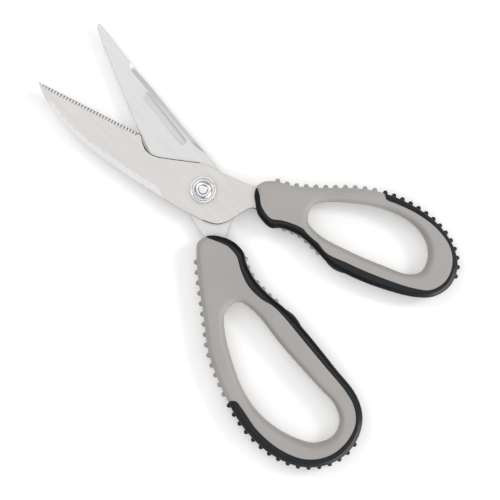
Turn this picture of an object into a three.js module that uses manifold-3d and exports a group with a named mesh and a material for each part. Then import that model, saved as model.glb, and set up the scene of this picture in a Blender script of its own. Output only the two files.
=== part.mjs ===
// Poultry shears: two steel halves on one pivot, each with a soft-faced loop handle.
//
// Millimetres. The origin is on the pivot axis, at the flat back face of the bolt head.
// +Y runs along the middle of the opening towards the blade tips, +Z out of the front face.
// Each half is drawn as it lies when the shears are shut, with its tip on +Y, and its group
// is then turned about the pivot to the open rest position.

import * as THREE from 'three';
import { mergeVertices } from 'three/addons/utils/BufferGeometryUtils.js';
import Module from 'manifold-3d';

const wasm = await Module();
wasm.setup();

// ---------------------------------------------------------------- driving dimensions

const HALF_OPENING = THREE.MathUtils.degToRad(12.2);  // each half's turn from shut at rest

// Pivot, from back to front
const HEAD_RADIUS = 7.5;
const HEAD_HEIGHT = 2.0;
const HEAD_CHAMFER = 0.5;
const WASHER_THICKNESS = 0.4;
const STACK_GAP = 0.05;
const SHANK_RADIUS = 3.95;
const BORE_RADIUS = 4.0;
const THREAD_RADIUS = 2.3;
const THREAD_BORE_RADIUS = 2.38;
const SPRING_WASHER_THICKNESS = 0.6;
const SPRING_WASHER_RADIUS = 6.2;
const NUT_RADIUS = 6.75;
const NUT_TEETH = 40;
const NUT_TOOTH_DEPTH = 0.45;
const NUT_FLANGE_HEIGHT = 2.0;
const NUT_RIM_WIDTH = 0.8;
const NUT_GROOVE_DEPTH = 0.7;
const NUT_GROOVE_SLOPE = 0.3;
const DOME_RADIUS = 4.6;
const DOME_HEIGHT = 3.6;
const DOME_WALL = 0.9;
const DOME_SHOULDER = 0.7;
const DOME_SHOULDER_DROP = 0.5;
const DOME_TOP_INSET = 1.7;
const BOLT_END_STAND = 0.2;

// Blades
const BLADE_THICKNESS = 2.5;
const BLADE_GAP = 0.1;
const EDGE_THICKNESS = 0.5;
const EDGE_BEVEL_WIDTH = 3.0;
const SPINE_BEVEL_WIDTH = 2.2;
const SPINE_BEVEL_DEPTH = 1.0;
const SERRATION_COUNT = 32;
const SERRATION_DEPTH = 0.35;
const SCALLOP_COUNT = 16;
const SCALLOP_DEPTH = 0.7;
const SCALLOP_STEPS = 4;
const GROOVE_HALF_WIDTH = 2.0;
const GROOVE_DEPTH = 0.5;

// Handles
const HANDLE_THICKNESS = 14;
const HANDLE_BEVEL = 1.8;
const FIT_GAP = 0.3;             // between pieces that are set into each other
const STRIP_HEIGHT = 3.6;
const STRIP_DEPTH = 1.2;
const NUB_RADIUS = 1.15;
const NUB_STAND = 1.9;
const NUB_ROOT = 0.6;
const THROAT_NUB_STAND = 1.35;
const PIN_RADIUS = 1.6;
const PIN_LENGTH = 9;
const BUMPER_DEPTH = 2.0;
const BUMPER_STAND = 0.9;
const BUMPER_HEIGHT = 8;

// Heights worked out from the stack
const headWasherZ = HEAD_HEIGHT + STACK_GAP;
const plainBladeZ = headWasherZ + WASHER_THICKNESS + STACK_GAP;
const serratedBladeZ = plainBladeZ + BLADE_THICKNESS + BLADE_GAP;
const springWasherZ = serratedBladeZ + BLADE_THICKNESS + STACK_GAP;
const nutZ = springWasherZ + SPRING_WASHER_THICKNESS + STACK_GAP;
const boltEndZ = nutZ + DOME_HEIGHT + BOLT_END_STAND;
const handleMidZ = plainBladeZ + BLADE_THICKNESS + BLADE_GAP / 2;

// ---------------------------------------------------------------- outlines, drawn shut

const serratedBlade = {
  tip: [0, 98.6],
  firstTooth: [0.25, 96.3],
  edgeHeel: [6.1, 42.6],
  // bone notch, then the flank down to the handle
  notch: [[6.1, 42.6], [5.7, 40.6], [3.4, 38.5], [2.0, 36.4], [0.9, 33.8], [0.7, 31], [1.5, 27.6]],
  flank: [[4.9, 20.3], [10.5, 8.8], [12.4, -0.8], [12.2, -4], [13.8, -12.8], [15, -19.6]],
  tang: [[17.2, -28], [20.4, -37], [21.2, -43.5], [18.2, -46], [15.4, -43], [10.6, -34]],
  throat: [[6.5, -27.2], [5.7, -25.3], [4.1, -23.9], [0.5, -22.1], [-3.8, -20.2], [-7.3, -18.3],
    [-10.6, -15.1], [-12.3, -10.7], [-13.5, -1.6], [-14.2, 7.1], [-14.6, 15.3]],
  // fish-scaler back, from the heel up to the plain part by the tip
  scaler: [[-14.6, 15.3], [-14.9, 24], [-15.1, 33], [-15, 42], [-14.3, 55], [-12.7, 67.8],
    [-9.7, 79], [-6.1, 88.4]],
  nose: [[-4.2, 92.2], [-2, 95.8]],
};

const plainBlade = {
  edge: [[0, 98.4], [-1.2, 97.6], [-1.9, 96], [-3.4, 89.4], [-8.3, 61.7], [-11.6, 40], [-13.3, 24],
    [-13.4, 8], [-12.4, -7]],
  edgeLine: [[-1.9, 96], [-11.6, 40]],
  tang: [[-12.3, -20.3], [-14.2, -27], [-18.4, -38], [-20, -46], [-17.6, -50], [-14, -46],
    [-9, -36.5]],
  spine: [[-3.2, -26.2], [-0.2, -23.6], [2.9, -21.1], [5.2, -19.9], [8.8, -15], [11, -8], [12, 0],
    [11.4, 9], [8.2, 33.2], [5.4, 57.4], [3.3, 71.3], [1, 96.6], [0.7, 98]],
  bevelLine: [[9.6, 24], [3.6, 69.5]],
  groove: [[1.1, 54.8], [4.2, 26.4]],
};

// Both handle outlines run from the nose along the outer side, round the far end and back
// along the inner side. The seam is the line between the grey shells and the black rim.
const thumbHandle = {
  outline: [[8.8, -25.3], [11.9, -22.7], [15.9, -21.5], [19.8, -23], [23.2, -27.6], [26, -35.9],
    [32.8, -48.1], [43.4, -65.1], [48.9, -79.4], [50.9, -96.1], [49.3, -109.1], [44.3, -120.2],
    [36.9, -127.1], [27.3, -128.9], [19, -125.4], [13.4, -117.8], [7.5, -100.7], [4.2, -84],
    [3.7, -72], [5.8, -62.9], [7.3, -53], [5.4, -43], [2.7, -38.6], [3, -34.4], [5.2, -28.8]],
  hole: [[20.4, -49.9], [24.4, -50.6], [28.3, -54.1], [36, -67], [41.6, -80.6], [43.5, -94.5],
    [40.8, -105.2], [34, -112.2], [26, -113.6], [21.1, -108.8], [17.7, -96], [13.8, -73.5],
    [13, -60.5], [15.2, -52.6]],
  seam: [[16.4, -20.6], [13.8, -24.2], [8.8, -29], [6.4, -36], [8.8, -41.6], [10.9, -51.5],
    [9.6, -60.4], [7.2, -68.5], [8.6, -79], [10.8, -92.5], [16, -113.1], [20.4, -121.9],
    [27.8, -125.5], [36.2, -124.2], [43.4, -118.3], [47.6, -107.6], [48.4, -95.5], [46.9, -84],
    [46, -78.8], [49.6, -75.2]],
  beyondSeam: [[60, -76], [60, -140], [0, -140], [-6, -60], [-6, -30], [8, -16]],
  pins: [[14.2, -30.5], [18, -39.5]],
  grip: { from: [19, -22.4], to: [47.8, -75.6] },
  gripNubs: { from: [23.2, -29], to: [46.3, -71.8], count: 11 },
  rimNubs: { from: [48.2, -76.8], to: [33, -128.4], count: 14 },
  throat: { from: [4, -67.4], to: [4.6, -41.8] },
  throatNubs: { from: [4.8, -65], to: [6.3, -44.6], count: 6 },
  bumper: { from: [4.1, -82], to: [3.9, -70.5] },
};

const fingerHandle = {
  outline: [[-9.6, -20.9], [-13, -20.2], [-16.7, -21], [-19.4, -24.4], [-26, -36.8],
    [-34.3, -55.2], [-41, -69.9], [-44.4, -85], [-46.4, -101.5], [-45.9, -114.2],
    [-41.9, -129], [-33.6, -141.5], [-23.4, -147.9], [-11.9, -149.4], [-0.9, -145.5],
    [6.6, -137.9], [9.8, -127], [8.2, -111], [5.5, -87.4], [2.8, -71.9], [-0.2, -62.6],
    [-2.2, -52], [-1.5, -42.4], [0.3, -37.4], [-1, -30.1], [-5.2, -24.2]],
  hole: [[-14.6, -56.9], [-19.8, -56], [-24.8, -58.7], [-29.1, -66.2], [-33.1, -78],
    [-36.4, -92.5], [-36.7, -106], [-33.2, -119], [-27, -130], [-20, -137], [-11, -138.7],
    [-4, -133.8], [-1.9, -125], [-4, -113.4], [-8.6, -85.6], [-10.6, -66.5]],
  seam: [[-12.6, -19.2], [-8.9, -24], [-4.6, -30.4], [-3.6, -37], [-5.4, -43.4], [-6.5, -52],
    [-4.8, -60.6], [-1.6, -67.2], [0, -73.6], [1.8, -87], [4.2, -106], [6.3, -122],
    [5.9, -130.6], [1.8, -138.8], [-7.4, -144.2], [-18.1, -145.1], [-28.6, -140.4],
    [-36.6, -129.8], [-41.2, -115.4], [-41.9, -102], [-42.6, -97.4], [-47.6, -95]],
  beyondSeam: [[-56, -95], [-56, -160], [20, -160], [20, -30], [-4, -14]],
  pins: [[-12, -31.5], [-16.2, -42.5]],
  grip: { from: [-18.4, -22.9], to: [-45.6, -94.4] },
  gripNubs: { from: [-21.8, -28.6], to: [-45.3, -92], count: 14 },
  rimNubs: { from: [-46.2, -98], to: [-4.3, -147.4], count: 16 },
  throat: { from: [1.9, -68.2], to: [0.1, -39] },
  throatNubs: { from: [1.2, -66.4], to: [-0.4, -40.6], count: 7 },
  bumper: { from: [4.7, -83.6], to: [2.9, -72.2] },
};

// ---------------------------------------------------------------- materials

function material(color, roughness, metalness) {
  return new THREE.MeshStandardMaterial({ color, roughness, metalness });
}

const steel = material(0xcfcdca, 0.35, 0.9);
const polishedSteel = material(0xd8d8da, 0.15, 0.95);
const greyGrip = material(0xb2aeaa, 0.75, 0);
const blackGrip = material(0x1c2128, 0.5, 0);

// ---------------------------------------------------------------- helpers

const vector = ([x, y]) => new THREE.Vector2(x, y);

function curve(points, closed = false) {
  const knots = points.map(([x, y]) => new THREE.Vector3(x, y, 0));
  return new THREE.CatmullRomCurve3(knots, closed, 'centripetal');
}

function smooth(points, count, closed = false) {
  const samples = curve(points, closed).getSpacedPoints(count);
  if (closed) samples.pop();
  return samples.map((p) => new THREE.Vector2(p.x, p.y));
}

function toSolid(geometry) {
  const bare = geometry.clone();
  bare.deleteAttribute('normal');
  bare.deleteAttribute('uv');
  const merged = mergeVertices(bare, 1e-4);
  const mesh = new wasm.Mesh({
    numProp: 3,
    vertProperties: Float32Array.from(merged.attributes.position.array),
    triVerts: Uint32Array.from(merged.index.array),
  });
  return new wasm.Manifold(mesh);
}

function toGeometry(solid) {
  const { vertProperties, triVerts } = solid.getMesh();
  const geometry = new THREE.BufferGeometry();
  geometry.setAttribute('position', new THREE.BufferAttribute(vertProperties, 3));
  geometry.setIndex(new THREE.BufferAttribute(triVerts, 1));
  geometry.computeVertexNormals();
  return geometry;
}

function piece(name, solid, finish) {
  const mesh = new THREE.Mesh(toGeometry(solid), finish);
  mesh.name = name;
  return mesh;
}

const anticlockwise = (outline) => (
  THREE.ShapeUtils.isClockWise(outline) ? [...outline].reverse() : outline);

// A flat plate between two heights, its edges chamfered by bevel
function plate(outline, lowZ, highZ, bevel = 0, hole = null) {
  const shape = new THREE.Shape(anticlockwise(outline));
  if (hole) shape.holes.push(new THREE.Path(anticlockwise(hole)));
  const geometry = new THREE.ExtrudeGeometry(shape, {
    depth: highZ - lowZ - 2 * bevel,
    bevelEnabled: bevel > 0,
    bevelThickness: bevel,
    bevelSize: bevel,
    bevelOffset: -bevel,
    bevelSegments: 1,
  });
  return toSolid(geometry.translate(0, 0, lowZ + bevel));
}

function cylinder(x, y, lowZ, highZ, radius, sides = 16) {
  const geometry = new THREE.CylinderGeometry(radius, radius, highZ - lowZ, sides);
  return toSolid(geometry.rotateX(Math.PI / 2).translate(x, y, (lowZ + highZ) / 2));
}

// A ring or disc turned about the pivot axis, from [radius, z] points
function turned(profile, segments = 40) {
  const geometry = new THREE.LatheGeometry(profile.map(vector), segments);
  return toSolid(geometry.rotateX(Math.PI / 2));
}

const closedProfile = (profile) => [...profile, profile[0]];

// ---------------------------------------------------------------- pivot

function pivotBolt() {
  return turned([
    [0, 0],
    [HEAD_RADIUS - HEAD_CHAMFER, 0],
    [HEAD_RADIUS, HEAD_CHAMFER],
    [HEAD_RADIUS, HEAD_HEIGHT],
    [SHANK_RADIUS, HEAD_HEIGHT],
    [SHANK_RADIUS, nutZ - STACK_GAP],
    [THREAD_RADIUS, nutZ - STACK_GAP],
    [THREAD_RADIUS, boltEndZ - HEAD_CHAMFER],
    [THREAD_RADIUS - HEAD_CHAMFER, boltEndZ],
    [0, boltEndZ],
  ]);
}

function flatWasher(lowZ, thickness, outerRadius) {
  return turned(closedProfile([
    [BORE_RADIUS, lowZ],
    [outerRadius, lowZ],
    [outerRadius, lowZ + thickness],
    [BORE_RADIUS, lowZ + thickness],
  ]));
}

function pivotNut() {
  const flangeTop = nutZ + NUT_FLANGE_HEIGHT;
  const grooveZ = flangeTop - NUT_GROOVE_DEPTH;
  const domeTop = nutZ + DOME_HEIGHT;
  const body = turned(closedProfile([
    [THREAD_BORE_RADIUS, nutZ],
    [NUT_RADIUS, nutZ],
    [NUT_RADIUS, flangeTop],
    [NUT_RADIUS - NUT_RIM_WIDTH, flangeTop],
    [NUT_RADIUS - NUT_RIM_WIDTH - NUT_GROOVE_SLOPE, grooveZ],
    [DOME_RADIUS, grooveZ],
    [DOME_RADIUS, grooveZ + DOME_WALL],
    [DOME_RADIUS - DOME_SHOULDER, domeTop - DOME_SHOULDER_DROP],
    [DOME_RADIUS - DOME_TOP_INSET, domeTop],
    [THREAD_BORE_RADIUS, domeTop],
  ]));
  const knurl = [];
  for (let i = 0; i < 2 * NUT_TEETH; i += 1) {
    const angle = (i / NUT_TEETH) * Math.PI;
    const radius = i % 2 ? NUT_RADIUS : NUT_RADIUS - NUT_TOOTH_DEPTH;
    knurl.push(new THREE.Vector2(radius * Math.cos(angle), radius * Math.sin(angle)));
  }
  return body.intersect(plate(knurl, nutZ - 1, domeTop + 1));
}

// ---------------------------------------------------------------- blades

// A wedge that grinds a bevel along a straight edge. The blade lies to the left of the way
// from start to end. face is the height of the ground face and up its outward direction.
function groundBevel(start, end, width, depth, face, up) {
  const along = vector(end).sub(vector(start));
  const length = along.length();
  along.normalize();
  const across = new THREE.Vector3(-along.y, along.x, 0);
  const clear = 2;
  const slope = depth / width;
  const section = new THREE.Shape([
    new THREE.Vector2(width + clear / slope, clear),
    new THREE.Vector2(-clear, clear),
    new THREE.Vector2(-clear, -depth - clear * slope),
  ]);
  const geometry = new THREE.ExtrudeGeometry(section, { depth: length, bevelEnabled: false });
  const basis = new THREE.Matrix4().makeBasis(
    across,
    new THREE.Vector3(0, 0, up),
    new THREE.Vector3(along.x, along.y, 0),
  );
  basis.setPosition(start[0], start[1], face);
  geometry.applyMatrix4(basis);
  if (basis.determinant() < 0) flipFaces(geometry);
  return toSolid(geometry);
}

function flipFaces(geometry) {
  const { array } = geometry.attributes.position;
  for (let i = 0; i < array.length; i += 9) {
    for (let k = 0; k < 3; k += 1) {
      [array[i + k], array[i + 3 + k]] = [array[i + 3 + k], array[i + k]];
    }
  }
}

// Points from start to end with small V notches cut to the left of the way
function serrations(start, end) {
  const from = vector(start);
  const to = vector(end);
  const inward = to.clone().sub(from).rotateAround(new THREE.Vector2(), Math.PI / 2).normalize();
  const points = [];
  for (let i = 0; i < SERRATION_COUNT; i += 1) {
    points.push(from.clone().lerp(to, (i + 0.2) / SERRATION_COUNT));
    const root = from.clone().lerp(to, (i + 0.7) / SERRATION_COUNT);
    points.push(root.addScaledVector(inward, SERRATION_DEPTH));
  }
  return points;
}

// Hollow scallops along a curve, cut to the left of the way
function scallops(points) {
  const back = curve(points);
  const result = [];
  const steps = SCALLOP_COUNT * SCALLOP_STEPS;
  for (let i = 0; i <= steps; i += 1) {
    const at = back.getPointAt(i / steps);
    const along = back.getTangentAt(i / steps);
    const depth = SCALLOP_DEPTH * Math.sin((Math.PI * (i % SCALLOP_STEPS)) / SCALLOP_STEPS);
    result.push(new THREE.Vector2(at.x + along.y * depth, at.y - along.x * depth));
  }
  return result;
}

function pinHoles(handle, lowZ) {
  const radius = PIN_RADIUS + FIT_GAP;
  return handle.pins.map(([x, y]) => (
    cylinder(x, y, lowZ - 1, lowZ + BLADE_THICKNESS + 1, radius, 12)));
}

function pivotBore() {
  return cylinder(0, 0, -5, 20, BORE_RADIUS, 40);
}

function drill(solid, cutters) {
  return cutters.reduce((left, cutter) => left.subtract(cutter), solid);
}

function makeSerratedBlade() {
  const { tip, firstTooth, edgeHeel, notch, flank, tang, throat, scaler, nose } = serratedBlade;
  const outline = [
    vector(tip),
    ...serrations(firstTooth, edgeHeel),
    ...smooth(notch, 9),
    ...flank.map(vector),
    ...tang.map(vector),
    ...smooth(throat, 14).slice(0, -1),
    ...scallops(scaler),
    ...nose.map(vector),
  ];
  const top = serratedBladeZ + BLADE_THICKNESS;
  const grind = BLADE_THICKNESS - EDGE_THICKNESS;
  const bevel = groundBevel(edgeHeel, tip, EDGE_BEVEL_WIDTH, grind, top, 1);
  const blank = plate(outline, serratedBladeZ, top);
  return drill(blank, [bevel, pivotBore(), ...pinHoles(thumbHandle, serratedBladeZ)]);
}

function grooveCutter(face) {
  const [start, end] = plainBlade.groove.map(vector);
  const along = end.clone().sub(start);
  const heading = along.angle();
  const arcPoints = (centre, from) => {
    const points = [];
    for (let i = 0; i <= 6; i += 1) {
      const angle = from + (Math.PI * i) / 6;
      points.push(new THREE.Vector2(
        centre.x + GROOVE_HALF_WIDTH * Math.cos(angle),
        centre.y + GROOVE_HALF_WIDTH * Math.sin(angle),
      ));
    }
    return points;
  };
  const outline = [
    ...arcPoints(start, heading + Math.PI / 2),
    ...arcPoints(end, heading - Math.PI / 2),
  ];
  return plate(outline, face - GROOVE_DEPTH, face + 1);
}

function makePlainBlade() {
  const { edge, edgeLine, tang, spine, bevelLine } = plainBlade;
  const outline = [
    ...edge.map(vector),
    ...tang.map(vector),
    ...smooth(spine, 30),
  ];
  const top = plainBladeZ + BLADE_THICKNESS;
  const grind = BLADE_THICKNESS - EDGE_THICKNESS;
  const edgeBevel = groundBevel(...edgeLine, EDGE_BEVEL_WIDTH, grind, plainBladeZ, -1);
  const spineBevel = groundBevel(...bevelLine, SPINE_BEVEL_WIDTH, SPINE_BEVEL_DEPTH, top, 1);
  const blank = plate(outline, plainBladeZ, top);
  const cutters = [edgeBevel, spineBevel, grooveCutter(top), pivotBore()];
  return drill(blank, [...cutters, ...pinHoles(fingerHandle, plainBladeZ)]);
}

// ---------------------------------------------------------------- handles

// The handle's outline as a curve that gives points, outward directions and nearest places
function handleOutline(handle) {
  const path = curve(handle.outline, true);
  const area = THREE.ShapeUtils.area(smooth(handle.outline, 60, true));
  const side = area > 0 ? 1 : -1;
  const steps = 600;
  const samples = [];
  for (let i = 0; i < steps; i += 1) samples.push(path.getPointAt(i / steps));
  return {
    at(u, offset = 0) {
      const place = ((u % 1) + 1) % 1;
      const point = path.getPointAt(place);
      const along = path.getTangentAt(place);
      return new THREE.Vector2(point.x + side * along.y * offset, point.y - side * along.x * offset);
    },
    nearest([x, y]) {
      const distances = samples.map((p) => Math.hypot(p.x - x, p.y - y));
      return distances.indexOf(Math.min(...distances)) / steps;
    },
    length: path.getLength(),
  };
}

// A flat piece that follows the outline from one place to another. It reaches inset inside the
// outline and outset(t) beyond it, with t from 0 to 1 along it, and grow longer at each end.
function follower(outline, span, { inset, outset, height, grow = 0, count }) {
  const start = outline.nearest(span.from) - grow / outline.length;
  const end = outline.nearest(span.to) + grow / outline.length;
  const outer = [];
  const inner = [];
  for (let i = 0; i <= count; i += 1) {
    const t = i / count;
    const u = start + (end - start) * t;
    outer.push(outline.at(u, outset(t)));
    inner.unshift(outline.at(u, -inset));
  }
  return plate([...outer, ...inner], handleMidZ - height / 2, handleMidZ + height / 2);
}

function strip(outline, span, count) {
  return follower(outline, span, {
    inset: STRIP_DEPTH, outset: () => 0, height: STRIP_HEIGHT, count,
  });
}

function stripPocket(outline, span, count) {
  return follower(outline, span, {
    inset: STRIP_DEPTH + FIT_GAP,
    outset: () => 2,
    height: STRIP_HEIGHT + 2 * FIT_GAP,
    grow: FIT_GAP,
    count,
  });
}

function bumper(outline, span, spare = 0) {
  return follower(outline, span, {
    inset: BUMPER_DEPTH + spare,
    outset: (t) => BUMPER_STAND * Math.sin(Math.PI * t) + spare,
    height: BUMPER_HEIGHT + 2 * spare,
    grow: spare,
    count: 8,
  });
}

// One small blunt cone that stands out of the side wall
function nub(outline, u, stand) {
  const length = NUB_ROOT + stand;
  const foot = outline.at(u, -NUB_ROOT);
  const tip = outline.at(u, stand);
  const heading = tip.clone().sub(foot).angle();
  const geometry = new THREE.CylinderGeometry(NUB_RADIUS * 0.7, NUB_RADIUS, length, 6);
  geometry.rotateZ(heading - Math.PI / 2);
  geometry.translate((foot.x + tip.x) / 2, (foot.y + tip.y) / 2, handleMidZ);
  return toSolid(geometry);
}

function addNubs(solid, outline, { from, to, count }, stand = NUB_STAND) {
  const start = outline.nearest(from);
  const end = outline.nearest(to);
  let result = solid;
  for (let i = 0; i < count; i += 1) {
    result = result.add(nub(outline, start + ((end - start) * i) / (count - 1), stand));
  }
  return result;
}

// The part of the handle beyond the seam line, moved by shift towards the shells
function rimRegion(handle, shift) {
  const seam = smooth(handle.seam, 48);
  const moved = seam.map((point, i) => {
    const before = seam[Math.max(i - 1, 0)];
    const after = seam[Math.min(i + 1, seam.length - 1)];
    const along = after.clone().sub(before).normalize();
    return new THREE.Vector2(point.x - along.y * shift, point.y + along.x * shift);
  });
  const outline = [...moved, ...handle.beyondSeam.map(vector)];
  return plate(outline, handleMidZ - HANDLE_THICKNESS, handleMidZ + HANDLE_THICKNESS);
}

function tangPocket(outline, lowZ) {
  const geometry = new THREE.ExtrudeGeometry(new THREE.Shape(outline), {
    depth: BLADE_THICKNESS,
    bevelEnabled: true,
    bevelThickness: FIT_GAP,
    bevelSize: FIT_GAP,
    bevelSegments: 1,
  });
  return toSolid(geometry.translate(0, 0, lowZ));
}

function slab(lowZ, highZ) {
  const geometry = new THREE.BoxGeometry(300, 400, highZ - lowZ);
  return toSolid(geometry.translate(0, 0, (lowZ + highZ) / 2));
}

function pinBores(handle) {
  const reach = PIN_LENGTH / 2 + FIT_GAP;
  return handle.pins.map(([x, y]) => (
    cylinder(x, y, handleMidZ - reach, handleMidZ + reach, PIN_RADIUS + FIT_GAP, 12)));
}

// The pieces of one handle. seamSide is +1 where the shells lie to the left of the seam's way.
function handlePieces(prefix, handle, pocket, seamSide) {
  const outline = handleOutline(handle);
  const low = handleMidZ - HANDLE_THICKNESS / 2;
  const high = handleMidZ + HANDLE_THICKNESS / 2;
  const body = plate(smooth(handle.outline, 76, true), low, high, HANDLE_BEVEL,
    smooth(handle.hole, 44, true));

  const gripPocket = stripPocket(outline, handle.grip, 20);
  const throatPocket = stripPocket(outline, handle.throat, 10);
  const shells = drill(body, [
    rimRegion(handle, seamSide * FIT_GAP), pocket, gripPocket, ...pinBores(handle),
  ]);
  const front = shells.subtract(slab(low - 1, handleMidZ + FIT_GAP / 2));
  const back = shells.subtract(slab(handleMidZ - FIT_GAP / 2, high + 1));

  const region = rimRegion(handle, 0);
  const bareRim = drill(body.intersect(region), [
    pocket, throatPocket, gripPocket, bumper(outline, handle.bumper, FIT_GAP),
  ]);
  const rim = addNubs(bareRim, outline, handle.rimNubs).intersect(region);

  const grip = addNubs(strip(outline, handle.grip, 20), outline, handle.gripNubs);
  const throatPad = strip(outline, handle.throat, 10);
  const throat = addNubs(throatPad, outline, handle.throatNubs, THROAT_NUB_STAND);

  const half = PIN_LENGTH / 2;
  const pins = handle.pins.map(([x, y]) => (
    cylinder(x, y, handleMidZ - half, handleMidZ + half, PIN_RADIUS, 12)));

  return [
    piece(`${prefix}_front_shell`, front, greyGrip),
    piece(`${prefix}_back_shell`, back, greyGrip),
    piece(`${prefix}_rim`, rim, blackGrip),
    piece(`${prefix}_grip_strip`, grip, greyGrip),
    piece(`${prefix}_throat_pad`, throat, greyGrip),
    piece(`${prefix}_bumper`, bumper(outline, handle.bumper), blackGrip),
    piece(`${prefix}_upper_pin`, pins[0], steel),
    piece(`${prefix}_lower_pin`, pins[1], steel),
  ];
}

function thumbPocket() {
  const { flank, tang, throat } = serratedBlade;
  const outline = [...flank.slice(-2), ...tang, ...throat.slice(0, 4)].map(vector);
  return tangPocket(outline, serratedBladeZ);
}

function fingerPocket() {
  const { edge, tang, spine } = plainBlade;
  const outline = [...edge.slice(-1), ...tang, ...spine.slice(0, 4)].map(vector);
  return tangPocket(outline, plainBladeZ);
}

// ---------------------------------------------------------------- assembly

const thumbHalf = new THREE.Group();
thumbHalf.rotation.z = HALF_OPENING;
thumbHalf.add(piece('serrated_blade', makeSerratedBlade(), steel));
thumbHalf.add(...handlePieces('thumb', thumbHandle, thumbPocket(), 1));

const fingerHalf = new THREE.Group();
fingerHalf.rotation.z = -HALF_OPENING;
fingerHalf.add(piece('plain_blade', makePlainBlade(), steel));
fingerHalf.add(...handlePieces('finger', fingerHandle, fingerPocket(), -1));

const pivot = new THREE.Group();
pivot.add(piece('pivot_bolt', pivotBolt(), polishedSteel));
pivot.add(piece('head_washer', flatWasher(headWasherZ, WASHER_THICKNESS, HEAD_RADIUS), steel));
pivot.add(piece('spring_washer',
  flatWasher(springWasherZ, SPRING_WASHER_THICKNESS, SPRING_WASHER_RADIUS), steel));
pivot.add(piece('pivot_nut', pivotNut(), polishedSteel));

const shears = new THREE.Group();
shears.add(fingerHalf, thumbHalf, pivot);

export default shears;
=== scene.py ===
"""Poultry shears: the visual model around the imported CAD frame.

Outlines are in millimetres and drawn as each half lies when the shears are shut, with its
tip on +Y. Each half is then turned about the pivot, on the Z axis, to the open rest pose.
"""

import math

import bmesh
import bpy
import numpy as np
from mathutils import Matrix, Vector
from mathutils.geometry import tessellate_polygon


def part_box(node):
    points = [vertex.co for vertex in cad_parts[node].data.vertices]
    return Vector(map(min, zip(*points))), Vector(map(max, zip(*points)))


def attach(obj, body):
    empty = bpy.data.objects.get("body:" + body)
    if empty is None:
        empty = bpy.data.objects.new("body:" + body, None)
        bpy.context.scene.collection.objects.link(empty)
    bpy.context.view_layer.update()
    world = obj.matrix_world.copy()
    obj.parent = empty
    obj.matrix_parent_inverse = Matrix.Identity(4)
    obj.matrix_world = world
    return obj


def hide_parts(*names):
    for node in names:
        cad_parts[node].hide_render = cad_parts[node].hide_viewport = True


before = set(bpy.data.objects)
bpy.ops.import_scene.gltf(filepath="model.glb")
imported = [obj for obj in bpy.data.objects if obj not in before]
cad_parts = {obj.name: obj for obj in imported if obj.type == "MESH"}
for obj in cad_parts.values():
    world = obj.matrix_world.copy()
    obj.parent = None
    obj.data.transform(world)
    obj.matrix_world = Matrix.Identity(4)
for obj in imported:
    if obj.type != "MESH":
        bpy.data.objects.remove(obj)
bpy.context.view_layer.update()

MM = 0.001
HALF_OPENING = math.radians(12.2)

# Heights, read from the frame, in millimetres
FRONT_BLADE_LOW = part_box("serrated_blade")[0].z / MM
FRONT_BLADE_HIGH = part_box("serrated_blade")[1].z / MM
REAR_BLADE_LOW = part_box("plain_blade")[0].z / MM
REAR_BLADE_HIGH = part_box("plain_blade")[1].z / MM
HANDLE_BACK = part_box("finger_back_shell")[0].z / MM
HANDLE_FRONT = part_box("finger_front_shell")[1].z / MM
HANDLE_MID = (HANDLE_BACK + HANDLE_FRONT) / 2
HALF_THICKNESS = (HANDLE_FRONT - HANDLE_BACK) / 2

# ------------------------------------------------------------------ outlines

THUMB = {
    "turn": HALF_OPENING,
    "outline": [
        (8.8, -25.3), (11.9, -22.7), (15.9, -21.5), (19.8, -23), (23.2, -27.6), (26, -35.9),
        (32.8, -48.1), (43.4, -65.1), (48.9, -79.4), (50.9, -96.1), (49.3, -109.1),
        (44.3, -120.2), (36.9, -127.1), (27.3, -128.9), (19, -125.4), (13.4, -117.8),
        (7.5, -100.7), (4.2, -84), (3.7, -72), (5.8, -62.9), (7.3, -53), (5.4, -43),
        (2.7, -38.6), (3, -34.4), (5.2, -28.8)],
    "hole": [
        (20.4, -49.9), (24.4, -50.6), (28.3, -54.1), (36, -67), (41.6, -80.6), (43.5, -94.5),
        (40.8, -105.2), (34, -112.2), (26, -113.6), (21.1, -108.8), (17.7, -96),
        (13.8, -73.5), (13, -60.5), (15.2, -52.6)],
    "seam": [
        (16.4, -20.6), (13.8, -24.2), (8.8, -29), (6.4, -36), (8.8, -41.6), (10.9, -51.5),
        (9.6, -60.4), (7.2, -68.5), (8.6, -79), (10.8, -92.5), (16, -113.1), (20.4, -121.9),
        (27.8, -125.5), (36.2, -124.2), (43.4, -118.3), (47.6, -107.6), (48.4, -95.5),
        (46.9, -84), (46, -78.8), (49.6, -75.2)],
    "grip_nubs": ((23.2, -29), (46.3, -71.8), 11),
    "rim_nubs": ((48.2, -76.8), (33, -128.4), 14),
    "throat": ((4, -67.4), (4.6, -41.8)),
    "throat_nubs": ((4.8, -65), (6.3, -44.6), 6),
    "bumper": ((4.1, -82), (3.9, -70.5)),
}

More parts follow.
